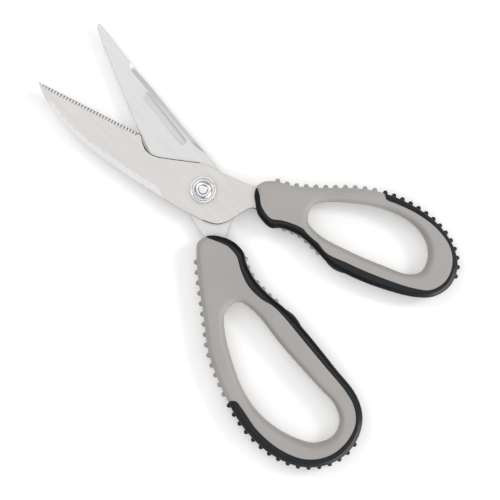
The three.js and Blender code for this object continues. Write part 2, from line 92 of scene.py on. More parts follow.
FINGER = {
    "turn": -HALF_OPENING,
    "outline": [
        (-9.6, -20.9), (-13, -20.2), (-16.7, -21), (-19.4, -24.4), (-26, -36.8),
        (-34.3, -55.2), (-41, -69.9), (-44.4, -85), (-46.4, -101.5), (-45.9, -114.2),
        (-41.9, -129), (-33.6, -141.5), (-23.4, -147.9), (-11.9, -149.4), (-0.9, -145.5),
        (6.6, -137.9), (9.8, -127), (8.2, -111), (5.5, -87.4), (2.8, -71.9), (-0.2, -62.6),
        (-2.2, -52), (-1.5, -42.4), (0.3, -37.4), (-1, -30.1), (-5.2, -24.2)],
    "hole": [
        (-14.6, -56.9), (-19.8, -56), (-24.8, -58.7), (-29.1, -66.2), (-33.1, -78),
        (-36.4, -92.5), (-36.7, -106), (-33.2, -119), (-27, -130), (-20, -137),
        (-11, -138.7), (-4, -133.8), (-1.9, -125), (-4, -113.4), (-8.6, -85.6),
        (-10.6, -66.5)],
    "seam": [
        (-12.6, -19.2), (-8.9, -24), (-4.6, -30.4), (-3.6, -37), (-5.4, -43.4), (-6.5, -52),
        (-4.8, -60.6), (-1.6, -67.2), (0, -73.6), (1.8, -87), (4.2, -106), (6.3, -122),
        (5.9, -130.6), (1.8, -138.8), (-7.4, -144.2), (-18.1, -145.1), (-28.6, -140.4),
        (-36.6, -129.8), (-41.2, -115.4), (-41.9, -102), (-42.6, -97.4), (-47.6, -95)],
    "grip_nubs": ((-21.8, -28.6), (-45.3, -92), 14),
    "rim_nubs": ((-46.2, -98), (-4.3, -147.4), 16),
    "throat": ((1.9, -68.2), (0.1, -39)),
    "throat_nubs": ((1.2, -66.4), (-0.4, -40.6), 7),
    "bumper": ((4.7, -83.6), (2.9, -72.2)),
}

# ------------------------------------------------------------------ plane curves


def spline(points, closed=False, steps=16):
    """A centripetal Catmull-Rom curve through the points, as a dense polyline."""
    p = np.asarray(points, float)
    if closed:
        p = np.vstack([p[-1:], p, p[:2]])
    else:
        p = np.vstack([2 * p[0] - p[1], p, 2 * p[-1] - p[-2]])
    pieces = []
    for a, b, c, d in zip(p[:-3], p[1:-2], p[2:-1], p[3:]):
        t1 = np.linalg.norm(b - a) ** 0.5
        t2 = t1 + np.linalg.norm(c - b) ** 0.5
        t3 = t2 + np.linalg.norm(d - c) ** 0.5
        t = np.linspace(t1, t2, steps, endpoint=False)[:, None]
        ab = a + (b - a) * t / t1
        bc = b + (c - b) * (t - t1) / (t2 - t1)
        cd = c + (d - c) * (t - t2) / (t3 - t2)
        abc = ab + (bc - ab) * t / t2
        bcd = bc + (cd - bc) * (t - t1) / (t3 - t1)
        pieces.append(abc + (bcd - abc) * (t - t1) / (t2 - t1))
    if not closed:
        pieces.append(p[-2:-1])
    return np.vstack(pieces)


def resample(line, count, closed=False):
    """The same line with evenly spaced points."""
    if closed:
        line = np.vstack([line, line[:1]])
    lengths = np.r_[0, np.cumsum(np.linalg.norm(np.diff(line, axis=0), axis=1))]
    at = np.linspace(0, lengths[-1], count, endpoint=not closed)
    return np.c_[np.interp(at, lengths, line[:, 0]), np.interp(at, lengths, line[:, 1])]


def signed_area(loop):
    x, y = loop.T
    return 0.5 * np.sum(x * np.roll(y, -1) - y * np.roll(x, -1))


def left_normals(line, closed=False):
    if closed:
        along = np.roll(line, -1, axis=0) - np.roll(line, 1, axis=0)
    else:
        along = np.gradient(line, axis=0)
    along /= np.linalg.norm(along, axis=1)[:, None]
    return np.c_[-along[:, 1], along[:, 0]]


def distance_to(line, points):
    """Distance from each point to a polyline, and the nearest place on it."""
    a = line[:-1][None]
    span = (line[1:] - line[:-1])[None]
    p = points[:, None]
    share = ((p - a) * span).sum(2) / np.maximum((span ** 2).sum(2), 1e-12)
    near = a + span * np.clip(share, 0, 1)[..., None]
    gap = np.linalg.norm(p - near, axis=2)
    best = gap.argmin(1)
    rows = np.arange(len(points))
    return gap[rows, best], near[rows, best]


def inside(loop, points):
    x, y = points[:, 0][:, None], points[:, 1][:, None]
    x0, y0 = loop.T
    x1, y1 = np.roll(loop, -1, axis=0).T
    crosses = (y0 > y) != (y1 > y)
    rise = np.where(y1 == y0, 1e-12, y1 - y0)
    return (crosses & (x < x0 + (x1 - x0) * (y - y0) / rise)).sum(1) % 2 == 1


def depth_in(loop, points):
    """How far inside a closed loop each point is, negative outside."""
    gap = distance_to(np.vstack([loop, loop[:1]]), points)[0]
    return np.where(inside(loop, points), gap, -gap)


# ------------------------------------------------------------------ meshes


def turned_about_pivot(points, angle):
    c, s = math.cos(angle), math.sin(angle)
    x, y, z = points.T
    return np.c_[x * c - y * s, x * s + y * c, z]


def at_height(line, height):
    return np.c_[line, np.broadcast_to(height, len(line))]


class Builder:
    """Collects vertices in millimetres and faces, then makes one object of them."""

    def __init__(self):
        self.points = []
        self.faces = []
        self.tags = []
        self.tag = 0

    def add_ring(self, ring):
        first = len(self.points)
        self.points.extend(map(tuple, ring))
        return list(range(first, first + len(ring)))

    def add_face(self, face):
        self.faces.append(face)
        self.tags.append(self.tag)

    def join(self, low, high, closed=True):
        count = len(low)
        for i in range(count if closed else count - 1):
            j = (i + 1) % count
            self.add_face((low[i], low[j], high[j], high[i]))

    def loft(self, rings, closed=True):
        ids = [self.add_ring(ring) for ring in rings]
        for low, high in zip(ids, ids[1:]):
            self.join(low, high, closed)
        return ids

    def fill(self, *loops):
        """Fills a flat region, seen in plan, between an outer loop and its holes."""
        flat = [i for loop in loops for i in loop]
        lines = [[Vector((*self.points[i][:2], 0)) for i in loop] for loop in loops]
        for triangle in tessellate_polygon(lines):
            self.add_face(tuple(flat[i] for i in triangle))

    def bridge(self, left, right):
        """Triangles between two lines of vertices, taking the shorter step each time."""
        at = np.array(self.points)
        i = j = 0
        while i < len(left) - 1 or j < len(right) - 1:
            ahead_left = ahead_right = math.inf
            if i < len(left) - 1:
                ahead_left = np.linalg.norm(at[left[i + 1]] - at[right[j]])
            if j < len(right) - 1:
                ahead_right = np.linalg.norm(at[left[i]] - at[right[j + 1]])
            if ahead_left <= ahead_right:
                self.add_face((left[i], left[i + 1], right[j]))
                i += 1
            else:
                self.add_face((left[i], right[j + 1], right[j]))
                j += 1

    def build(self, name, materials, angle=0.0, smooth_angle=40):
        points = turned_about_pivot(np.array(self.points, float), angle) * MM
        mesh = bpy.data.meshes.new(name)
        mesh.from_pydata([tuple(p) for p in points], [], self.faces)
        mesh.polygons.foreach_set("material_index", self.tags)
        bm = bmesh.new()
        bm.from_mesh(mesh)
        bmesh.ops.remove_doubles(bm, verts=bm.verts, dist=2e-6)
        bmesh.ops.dissolve_degenerate(bm, edges=bm.edges, dist=1e-7)
        bmesh.ops.recalc_face_normals(bm, faces=bm.faces)
        bm.to_mesh(mesh)
        bm.free()
        for finish in materials:
            mesh.materials.append(finish)
        mesh.shade_smooth()
        mesh.set_sharp_from_angle(angle=math.radians(smooth_angle))
        piece = bpy.data.objects.new(name, mesh)
        bpy.context.scene.collection.objects.link(piece)
        weighted = piece.modifiers.new("even_shading", "WEIGHTED_NORMAL")
        weighted.keep_sharp = True
        return piece


# ------------------------------------------------------------------ materials


class Nodes:
    """A small helper that wires a node material around one Principled shader."""

    def __init__(self, name):
        self.material = bpy.data.materials.new(name)
        self.material.use_nodes = True
        self.tree = self.material.node_tree
        self.shader = self.tree.nodes["Principled BSDF"]
        self.place = self.add("ShaderNodeTexCoord").outputs["Object"]

    def add(self, kind, **values):
        node = self.tree.nodes.new(kind)
        for key, value in values.items():
            setattr(node, key, value)
        return node

    def link(self, output, socket):
        self.tree.links.new(output, socket)

    def stretched(self, scale, angle=0.0):
        mapping = self.add("ShaderNodeMapping")
        mapping.inputs["Scale"].default_value = scale
        mapping.inputs["Rotation"].default_value = (0, 0, angle)
        self.link(self.place, mapping.inputs["Vector"])
        return mapping.outputs["Vector"]

    def noise(self, scale, detail=3.0, vector=None, roughness=0.5):
        node = self.add("ShaderNodeTexNoise")
        node.inputs["Scale"].default_value = scale
        node.inputs["Detail"].default_value = detail
        node.inputs["Roughness"].default_value = roughness
        self.link(vector or self.place, node.inputs["Vector"])
        return node.outputs["Fac"]

    def ramp(self, factor, low, high, start=0.3, end=0.7):
        node = self.add("ShaderNodeValToRGB")
        node.color_ramp.elements[0].position = start
        node.color_ramp.elements[1].position = end
        node.color_ramp.elements[0].color = (*low, 1)
        node.color_ramp.elements[1].color = (*high, 1)
        self.link(factor, node.inputs["Fac"])
        return node.outputs["Color"]

    def spread(self, factor, low, high):
        node = self.add("ShaderNodeMapRange")
        node.inputs["From Min"].default_value = 0.3
        node.inputs["From Max"].default_value = 0.7
        node.inputs["To Min"].default_value = low
        node.inputs["To Max"].default_value = high
        self.link(factor, node.inputs["Value"])
        return node.outputs["Result"]

    def bump(self, height, distance, strength=1.0, under=None):
        node = self.add("ShaderNodeBump")
        node.inputs["Distance"].default_value = distance
        node.inputs["Strength"].default_value = strength
        self.link(height, node.inputs["Height"])
        if under is not None:
            self.link(under, node.inputs["Normal"])
        return node.outputs["Normal"]


def set_shader(nodes, **values):
    for key, value in values.items():
        nodes.shader.inputs[key.replace("_", " ")].default_value = value


GRIND_SCALE = 900        # grind lines across one metre
GRIND_STRETCH = 0.02     # the noise's scale along the grind, against across it
GRIND_DEPTH = 0.000012


def brushed_steel(name, low, high, heading, roughness=(0.36, 0.46)):
    """Satin blade steel with a fine grind along the blade."""
    nodes = Nodes(name)
    along = nodes.stretched((1, GRIND_STRETCH, 1), heading)
    grind = nodes.noise(GRIND_SCALE, detail=8, vector=along, roughness=0.7)
    cloud = nodes.noise(26, detail=2)
    nodes.link(nodes.ramp(grind, low, high), nodes.shader.inputs["Base Color"])
    nodes.link(nodes.spread(cloud, *roughness), nodes.shader.inputs["Roughness"])
    nodes.link(nodes.bump(grind, GRIND_DEPTH, strength=0.5), nodes.shader.inputs["Normal"])
    set_shader(nodes, Metallic=1.0)
    return nodes.material


POLISH_SHADE = 0.94      # the darker patches' colour, against the colour given
POLISH_SPREAD = 0.8      # the smoother patches' roughness, against the roughness given


def polished_steel(name, colour, roughness):
    """Small machined steel, and the near-black and dark steel that paint shadow and shade on
    blade edges and serrations, faintly uneven.
    """
    nodes = Nodes(name)
    cloud = nodes.noise(300, detail=3)
    darker = [channel * POLISH_SHADE for channel in colour]
    nodes.link(nodes.ramp(cloud, darker, colour), nodes.shader.inputs["Base Color"])
    nodes.link(nodes.spread(cloud, roughness * POLISH_SPREAD, roughness / POLISH_SPREAD),
               nodes.shader.inputs["Roughness"])
    set_shader(nodes, Metallic=1.0)
    return nodes.material


def soft_touch(name, low, high, roughness, grain, depth, shine):
    """Moulded soft plastic or rubber with a fine eroded grain."""
    nodes = Nodes(name)
    fine = nodes.noise(grain, detail=4, roughness=0.6)
    cloud = nodes.noise(38, detail=3)
    nodes.link(nodes.ramp(cloud, low, high), nodes.shader.inputs["Base Color"])
    nodes.link(nodes.spread(fine, *roughness), nodes.shader.inputs["Roughness"])
    nodes.link(nodes.bump(fine, depth, strength=0.6), nodes.shader.inputs["Normal"])
    set_shader(nodes, Specular_IOR_Level=shine)
    return nodes.material


front_steel = brushed_steel("front_blade_steel", (0.55, 0.53, 0.517), (0.62, 0.6, 0.587),
                            heading=-HALF_OPENING)
rear_steel = brushed_steel("rear_blade_steel", (0.58, 0.58, 0.577), (0.64, 0.64, 0.637),
                           heading=HALF_OPENING)
# A lighter copy of the blade steel for the scaler's ground bevel: partly the real brighter grind,
# partly a painted highlight where the bevel faces away from the lights.
ground_lit_steel = brushed_steel("ground_bevel_lit_steel", (0.76, 0.76, 0.77), (0.83, 0.83, 0.84),
                             heading=math.radians(90), roughness=(0.5, 0.6))
shaded_steel = brushed_steel("shaded_bevel_steel", (0.55, 0.55, 0.545), (0.61, 0.61, 0.605),
                             heading=HALF_OPENING, roughness=(0.45, 0.55))
# A lighter copy of the rear steel for the dished groove: painted light that lifts the shade in
# the dish.
groove_lit_steel = brushed_steel("groove_lit_steel", (0.62, 0.62, 0.617), (0.68, 0.68, 0.677),
                             heading=HALF_OPENING, roughness=(0.6, 0.7))
# Painted shadow: near-black steel on the notch, flank and tang chamfers, standing in for the
# shadow line and gap between the blades.
shadow_line_steel = polished_steel("painted_shadow_edge_steel", (0.05, 0.05, 0.05), roughness=0.62)
# Painted shade: dark steel in the deep part of each serration, standing in for the dark
# reflection in the grooves.
serration_shade_steel = polished_steel("serration_painted_shade_steel", (0.28, 0.28, 0.277), roughness=0.55)
nut_steel = polished_steel("nut_steel", (0.7, 0.7, 0.71), roughness=0.25)
hidden_steel = polished_steel("hidden_steel", (0.6, 0.6, 0.6), roughness=0.35)
grey_skin = soft_touch("grey_soft_touch", (0.35, 0.335, 0.32), (0.382, 0.367, 0.352),
                       roughness=(0.5, 0.66), grain=5200, depth=0.00003, shine=0.3)
black_skin = soft_touch("black_rubber", (0.002, 0.004, 0.006), (0.004, 0.007, 0.01),
                        roughness=(0.3, 0.42), grain=4200, depth=0.00003, shine=0.3)

# ------------------------------------------------------------------ handles

HOLE_EDGE_WIDTH = 3.0   # rounded edge of the finger hole, in plan
HOLE_EDGE_DROP = 4.2
HOLE_EDGE_MARGIN = 0.6  # flat ring outside the rounded edge
SEAM_GAP = 0.05
STRIP_HALF = 1.75       # half the height of the nub strip
STRIP_GROOVE = 1.3      # depth of the groove that the strip sits in
STRIP_START = 2.5       # how far along the outline the strip starts after the nose
LOOP_COUNT = 900
OUTER_COUNT = 150
SEAM_COUNT = 190
HOLE_COUNT = 160
SEAM_SAMPLES = 700

# (distance in from the outline, drop below the face) across the bevel, rounded at both edges
BEVEL = [(0.0, 2.2), (0.05, 2.02), (0.16, 1.84), (0.34, 1.64), (1.8, 0.28), (1.93, 0.18),
         (2.1, 0.12), (2.4, 0.08), (3.0, 0.04), (4.0, 0.0)]
BEVEL_AT, BEVEL_DROP = np.array(BEVEL).T

# (step back from the seam, drop below the face) over the small edge beside the seam
SEAM_EDGE = [(0.05, 0.55), (0.05, 0.3), (0.09, 0.16), (0.17, 0.06), (0.3, 0.0)]


def face_height(depth):
    """Height above mid-thickness of the handle's face, by distance in from the outline."""
    return HALF_THICKNESS - np.interp(depth, BEVEL_AT, BEVEL_DROP)


class Handle:
    """One handle's outline, finger hole and seam, and places along its outline."""

    def __init__(self, spec):
        self.spec = spec
        self.loop = resample(spline(spec["outline"], True), LOOP_COUNT, True)
        self.side = 1 if signed_area(self.loop) > 0 else -1
        hole = resample(spline(spec["hole"], True), HOLE_COUNT, True)
        self.hole = hole if signed_area(hole) > 0 else hole[::-1]
        self.seam = resample(spline(spec["seam"]), SEAM_SAMPLES)
        closed = np.vstack([self.loop, self.loop[:1]])
        self.normals = self.side * left_normals(self.loop, True)
        self.length = np.linalg.norm(np.diff(closed, axis=0), axis=1).sum()

    def place(self, point):
        """Where along the outline, from 0 to 1, a point is nearest."""
        gaps = np.linalg.norm(self.loop - np.array(point), axis=1)
        return gaps.argmin() / len(self.loop)

    def at(self, u, outward=0.0):
        count = len(self.loop)
        k = (np.asarray(u) % 1) * count
        i = np.floor(k).astype(int) % count
        j = (i + 1) % count
        t = (k - np.floor(k))[..., None]
        point = self.loop[i] * (1 - t) + self.loop[j] * t
        normal = self.normals[i] * (1 - t) + self.normals[j] * t
        return point - normal * np.asarray(outward)[..., None]

    def edge_between(self, start, end, count):
        """Places along the outline from start to end, both counted on from the nose."""
        if end < start:
            end += 1
        return np.linspace(start, end, count)

    def seam_crossings(self):
        depth = depth_in(self.loop, self.seam)
        within = np.nonzero(depth > 0)[0]
        return self.seam[within[0]], self.seam[within[-1]]


def climb(inner, depth):
    """The first place that is depth inside the outline, or the top of the first rise."""
    for i in range(len(inner) - 1):
        if inner[i] >= depth or (inner[i] > 0 and inner[i + 1] < inner[i]):
            return i
    return len(inner) - 1


def trimmed_seam(handle, seam, depth):
    """The seam line, with each end gathered to where it is depth inside the outline."""
    inner = depth_in(handle.loop, seam)
    first = climb(inner, depth)
    last = len(seam) - 1 - climb(inner[::-1], depth)
    line = seam.copy()
    line[:first] = seam[first]
    line[last + 1:] = seam[last]
    return line


def ring_between(handle, places, seam, depth, step, seam_side):
    """One closed ring: the outline moved in by depth, then the seam moved back by step.

    seam_side is +1 where the piece lies to the left of the seam's way. The seam's count of
    points and the outline's stay the same from ring to ring, so rings can be joined.
    """
    moved = seam + left_normals(seam) * step * seam_side
    line = trimmed_seam(handle, moved, depth)
    outer = handle.at(places, -np.full(len(places), depth))
    nearest = distance_to(line, outer)[1]
    beyond = side_of(moved, outer) * seam_side < 0
    outer[beyond] = nearest[beyond]
    if np.linalg.norm(outer[-1] - line[0]) > np.linalg.norm(outer[-1] - line[-1]):
        line = line[::-1]
    outer[0] = line[-1]
    outer[-1] = line[0]
    return outer, line


def side_of(line, points):
    """+1 for points to the left of the line, -1 for points to its right."""
    a = line[:-1][None]
    span = (line[1:] - line[:-1])[None]
    p = points[:, None]
    share = np.clip(((p - a) * span).sum(2) / np.maximum((span ** 2).sum(2), 1e-12), 0, 1)
    away = p - (a + span * share[..., None])
    best = np.linalg.norm(away, axis=2).argmin(1)
    rows = np.arange(len(points))
    off, along = away[rows, best], span[0, best]
    return np.sign(along[:, 0] * off[:, 1] - along[:, 1] * off[:, 0])


def seam_edge_at(k, rings):
    """The seam's step back and drop for ring k of the bevel's rings."""
    t = np.linspace(0, 1, len(SEAM_EDGE))
    steps, drops = np.array(SEAM_EDGE).T
    share = k / (rings - 1)
    return np.interp(share, t, steps), np.interp(share, t, drops)


def face_rings(handle, places, seam, seam_side, lower):
    """Rings from the side wall up over the bevel to the face, heights above mid-thickness.

    lower lists (depth, height) rings under the bevel.
    """
    rings = []
    for depth, height in lower:
        outer, line = ring_between(handle, places, seam, depth, SEAM_GAP, seam_side)
        rings.append(np.vstack([at_height(outer, height), at_height(line[1:-1], height)]))
    count = len(BEVEL)
    for k, (depth, _) in enumerate(BEVEL):
        step, seam_drop = seam_edge_at(k, count)
        outer, line = ring_between(handle, places, seam, depth, step, seam_side)
        outer_z = face_height(depth_in(handle.loop, outer))
        line_z = face_height(depth_in(handle.loop, line[1:-1])) - seam_drop
        rings.append(np.vstack([at_height(outer, outer_z), at_height(line[1:-1], line_z)]))
    return rings


def hole_rings(handle):
    """Rings from mid-thickness up the wall of the hole and over its rounded edge."""
    normals = left_normals(handle.hole, True)
    rings = [(0.12, 0.03), (0.0, 0.16)]
    for angle in np.radians(np.arange(0, 90, 9)):
        rings.append((HOLE_EDGE_WIDTH * (1 - math.cos(angle)),
                      HALF_THICKNESS - HOLE_EDGE_DROP * (1 - math.sin(angle))))
    rings.append((HOLE_EDGE_WIDTH + HOLE_EDGE_MARGIN, HALF_THICKNESS))
    return [at_height(handle.hole - normals * out, z) for out, z in rings]


def raised(ring, sign):
    lifted = ring.copy()
    lifted[:, 2] = HANDLE_MID + sign * lifted[:, 2]
    return lifted


def grey_shell(handle, name, sign):
    """One grey half shell, front for sign +1 and back for -1."""
    nose, rim_end = handle.seam_crossings()
    places = handle.edge_between(handle.place(nose), handle.place(rim_end), OUTER_COUNT)
    seam = resample(handle.seam, SEAM_COUNT)
    lower = [(STRIP_GROOVE, 0.03), (STRIP_GROOVE, STRIP_HALF), (0.1, STRIP_HALF),
             (0.0, STRIP_HALF + 0.12)]
    rings = face_rings(handle, places, seam, -handle.side, lower)
    builder = Builder()
    outer = builder.loft([raised(ring, sign) for ring in rings])
    inner = builder.loft([raised(ring, sign) for ring in hole_rings(handle)])
    builder.fill(outer[-1], inner[-1])
    builder.fill(outer[0], inner[0])
    return builder.build(name, [grey_skin], handle.spec["turn"])


def rim(handle, name):
    """The black rim: one band from back to front, with its nubs set into its side wall."""
    nose, rim_end = handle.seam_crossings()
    places = handle.edge_between(handle.place(rim_end), handle.place(nose), 2 * OUTER_COUNT)
    seam = resample(handle.seam, 2 * SEAM_COUNT)
    rings = face_rings(handle, places, seam, handle.side, [(0.0, 0.0)])
    front = [raised(ring, 1) for ring in rings]
    back = [raised(ring, -1) for ring in rings[:0:-1]]
    builder = Builder()
    ids = builder.loft(back + front)
    for ring in (ids[0], ids[-1]):
        outer = ring[:len(places)]
        inner = [ring[0], *ring[:len(places) - 1:-1], ring[len(places) - 1]]
        builder.bridge(outer, inner)
    add_nubs(builder, handle, *handle.spec["rim_nubs"])
    return builder.build(name, [black_skin], handle.spec["turn"])


# (radius, height above the side wall) of one nub, from its foot in the wall to its tip
NUB_PROFILE = [(1.3, -0.5), (1.3, 0.15), (1.26, 0.6), (1.12, 1.05), (0.86, 1.42), (0.5, 1.68),
               (0.0, 1.8)]
NUB_SIDES = 20
THROAT_STAND = 0.7      # height of the throat's nubs, against the others


def add_nubs(builder, handle, start, end, count, stand=1.0):
    """A row of small domes standing out of the side wall, stand times the full height."""
    first, last = handle.place(start), handle.place(end)
    if last < first:
        last += 1
    for u in np.linspace(first, last, count):
        foot = handle.at(u)
        outward = handle.at(u, 1.0) - foot
        outward = outward / np.linalg.norm(outward)
        across = np.array([-outward[1], outward[0]])
        rings = []
        for radius, height in NUB_PROFILE[:-1]:
            height *= stand
            ring = []
            for i in range(NUB_SIDES):
                angle = 2 * math.pi * i / NUB_SIDES
                plan = foot + outward * height + across * radius * math.cos(angle)
                ring.append((*plan, HANDLE_MID + radius * math.sin(angle)))
            rings.append(np.array(ring))
        ids = builder.loft(rings)
        tip = foot + outward * NUB_PROFILE[-1][1] * stand
        apex = builder.add_ring([(*tip, HANDLE_MID)])[0]
        top, bottom = ids[-1], ids[0]
        for i in range(NUB_SIDES):
            builder.add_face((top[i], top[(i + 1) % NUB_SIDES], apex))
        builder.add_face(tuple(bottom))


def ribbon(builder, handle, start, end, depth, outset, half_height, rounding, count):
    """A band set into the side wall from start to end. outset(t) is how far it stands out."""
    first, last = (handle.place(p) for p in (start, end))
    if last < first:
        last += 1
    corner = [(0.0, 1.0), (0.3, 0.95), (0.7, 0.7), (0.95, 0.3), (1.0, 0.0)]
    section = [(-depth, -half_height)]
    section += [("out", -(half_height - rounding * (1 - b)), a) for a, b in corner]
    section += [("out", half_height - rounding * (1 - b), a) for a, b in reversed(corner)]
    section += [(-depth, half_height)]
    columns = []
    for t in np.linspace(0, 1, count):
        u = first + (last - first) * t
        ring = []
        for entry in section:
            if entry[0] == "out":
                offset = outset(t) - rounding * (1 - entry[2])
                height = entry[1]
            else:
                offset, height = entry
            ring.append((*handle.at(u, offset), HANDLE_MID + height))
        columns.append(np.array(ring))
    ids = builder.loft(columns)
    builder.add_face(tuple(ids[0]))
    builder.add_face(tuple(ids[-1]))


def grip_strip(handle, name):
    nose, rim_end = handle.seam_crossings()
    builder = Builder()
    ribbon(builder, handle, handle.at(handle.place(nose) + STRIP_START / handle.length), rim_end,
           depth=1.2, outset=lambda t: 0.12, half_height=STRIP_HALF - 0.08, rounding=0.3,
           count=90)
    add_nubs(builder, handle, *handle.spec["grip_nubs"])
    return builder.build(name, [grey_skin], handle.spec["turn"])


def throat_pad(handle, name):
    builder = Builder()
    ribbon(builder, handle, *handle.spec["throat"], depth=0.6,
           outset=lambda t: 0.35 * min(1, 12 * t, 12 * (1 - t)),
           half_height=STRIP_HALF, rounding=0.3, count=50)
    add_nubs(builder, handle, *handle.spec["throat_nubs"], THROAT_STAND)
    return builder.build(name, [grey_skin], handle.spec["turn"])


def bumper(handle, name):
    builder = Builder()
    ribbon(builder, handle, *handle.spec["bumper"], depth=0.8,
           outset=lambda t: 0.02 + 0.86 * math.sin(math.pi * t),
           half_height=3.95, rounding=0.4, count=40)
    return builder.build(name, [black_skin], handle.spec["turn"])


def make_handle(prefix, spec, body):
    handle = Handle(spec)
    makers = {
        "front_shell": lambda name: grey_shell(handle, name, 1),
        "back_shell": lambda name: grey_shell(handle, name, -1),
        "rim": lambda name: rim(handle, name),
        "grip_strip": lambda name: grip_strip(handle, name),
        "throat_pad": lambda name: throat_pad(handle, name),
        "bumper": lambda name: bumper(handle, name),
    }
    for part, maker in makers.items():
        piece = maker(f"{prefix}_{part}_skin")
        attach(piece, body)
        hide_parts(f"{prefix}_{part}")


make_handle("thumb", THUMB, "thumb_half")
make_handle("finger", FINGER, "finger_half")

# ------------------------------------------------------------------ blades

SERRATED = {
    "edge": [(0, 98.6), (6.1, 42.6)],
    "notch": [(6.1, 42.6), (5.7, 40.6), (3.4, 38.5), (2.0, 36.4), (0.9, 33.8), (0.7, 31),
              (1.5, 27.6)],
    "flank": [(4.9, 20.3), (10.5, 8.8), (12.4, -0.8), (12.2, -4), (13.8, -12.8), (15, -19.6),
              (17.2, -28), (20.4, -37), (21.2, -43.5), (18.2, -46)],
    "nose": [(0, 98.6), (-2, 95.8), (-4.2, 92.2)],
    "scaler": [(-6.1, 88.4), (-9.7, 79), (-12.7, 67.8), (-14.3, 55), (-15, 42), (-15.1, 33),
               (-14.9, 24), (-14.6, 15.3)],
    "throat": [(-14.6, 15.3), (-14.2, 7.1), (-13.5, -1.6), (-12.3, -10.7), (-10.6, -15.1),
               (-7.3, -18.3), (-3.8, -20.2), (0.5, -22.1), (4.1, -23.9), (5.7, -25.3),
               (6.5, -27.2), (10.6, -34), (15.4, -43), (18.2, -46)],
}

PLAIN = {
    "edge": [(0, 98.4), (-1.2, 97.6), (-1.9, 96), (-3.4, 89.4), (-8.3, 61.7), (-11.6, 40),
             (-13.3, 24), (-13.4, 8), (-12.4, -7), (-12.3, -20.3), (-14.2, -27),
             (-18.4, -38), (-20, -46), (-17.6, -50)],
    "spine": [(0, 98.4), (0.7, 98), (1, 96.6), (3.3, 71.3), (5.4, 57.4), (8.2, 33.2),
              (11.4, 9), (12, 0), (11, -8), (8.8, -15), (5.2, -19.9), (2.9, -21.1),
              (-0.2, -23.6), (-3.2, -26.2), (-9, -36.5), (-14, -46), (-17.6, -50)],
    "bevel_line": [(9.6, 24), (3.6, 69.5)],
    "groove": [(1.1, 54.8), (4.2, 26.4)],
}

EDGE_BREAK = 0.2          # the small chamfer on every plain edge
SHADOW_LINE_WIDTH = 0.42       # the wider chamfer on the notch, flank and tangs, coloured near-black as a painted shadow line
NOTCH_BREAK = 0.6         # how much wider that edge, with its painted shadow line, gets in the hollow of the notch
NOTCH_HOLLOW = (33, 38, 5)       # low end, high end, length of the fade
TANG_TOP = {"serrated": -8, "plain": -5}     # edges below it get the wider chamfer with the painted shadow line, not the grind
TIP_MARGIN = 0.02         # the rows stop this far short of the tip, so they have a width
TANG_MARGIN = 0.1
NOTCH_END = 24            # the notch's curve has finer rows down to here
ROUND_TIP_END = 94        # and so has the plain blade's round tip
TIP_ROW, FINE_ROW, ROW, LONG_ROW = 0.15, 0.2, 0.4, 0.6    # spacing of the rows
SMOOTH_ANGLE = 20
SERRATION_COUNT = 32
SERRATION_DEPTH = 0.45
SERRATION_BITE = 0.3      # how far each serration cuts into the edge, in plan
TEETH_STOP = 2.5          # distance from the tip to the first serration
TOOTH_BEVEL = 2.0
TOOTH_DROP = 0.3
TOOTH_SHARE = 0.4         # widest bevel near the tip, as a share of the blade's width
SCALLOP_COUNT = 16
SCALLOP_DEPTH = 0.7
SCALLOP_RIPPLE = 0.45     # the same wave, in the bevel's inner line
SCALER_BEVEL = 3.2
SCALER_TIP_BEVEL = 1.3
SCALER_DROP = 0.7
SCALER_TAPER_FROM = 50    # above it the scaler's bevel narrows towards the tip
SCALER_RUN_OUT = (2.5, 5, 8)     # how far past its low end, past its high end, length of the fade
SPINE_BEVEL = 2.2
SPINE_DROP = 1.0
SPINE_FADE_LOW = (12, 12)        # where the bevel's low end starts, length of the fade
SPINE_FADE_HIGH = (5, 4)         # how far it runs past its line, length of the fade
BACK_BEVEL = 3.0
BACK_DROP = 2.0
BACK_GRIND = (36, 102, 3)        # low end, high end (past the tip), length of the fade

# across one serration: (share of the pitch, share of the full depth)
GROOVE_ACROSS = [(0.0, 0), (0.28, 0), (0.33, 0.5), (0.4, 0.85), (0.47, 1), (0.54, 0.85),
                 (0.61, 0.5), (0.66, 0)]
# along one serration: (share of the bevel's width from its inner line, share of the depth)
GROOVE_ALONG = [(0.3, 0), (0.38, 0.5), (0.46, 0.75), (0.7, 0.9), (1.0, 1)]


def x_on(line):
    """x as a function of y for a line that runs steadily down or up."""
    order = np.argsort(line[:, 1], kind="stable")
    return lambda y: np.interp(y, line[order, 1], line[order, 0])


def rows_between(high, low, step):
    return np.linspace(high, low, max(2, int(abs(high - low) / step) + 1))


def distinct(*rows):
    """All the rows' heights from high to low, each only once."""
    return np.unique(np.round(np.concatenate(rows), 4))[::-1]


def fade(y, low, high, ends):
    """0 outside low and high, rising smoothly to 1 over a length of ends inside them."""
    t = np.clip(np.minimum(y - low, high - y) / ends, 0, 1)
    return t * t * (3 - 2 * t)


def plate_from_rows(y, columns, builder, tags):
    """A closed plate from rows across it. Each column is (x, z) for every y, in order round
    the section. tags gives the material index of the faces right of each column."""
    rows = []
    for k, height in enumerate(y):
        rows.append(np.array([(x[k], height, z[k]) for x, z in columns]))
    ids = [builder.add_ring(row) for row in rows]
    count = len(columns)
    for k, (low, high) in enumerate(zip(ids, ids[1:])):
        for j in range(count):
            builder.tag = int(tags[j][k])
            n = (j + 1) % count
            builder.add_face((low[j], low[n], high[n], high[j]))
    builder.tag = 0
    builder.add_face(tuple(ids[0]))
    builder.add_face(tuple(ids[-1]))


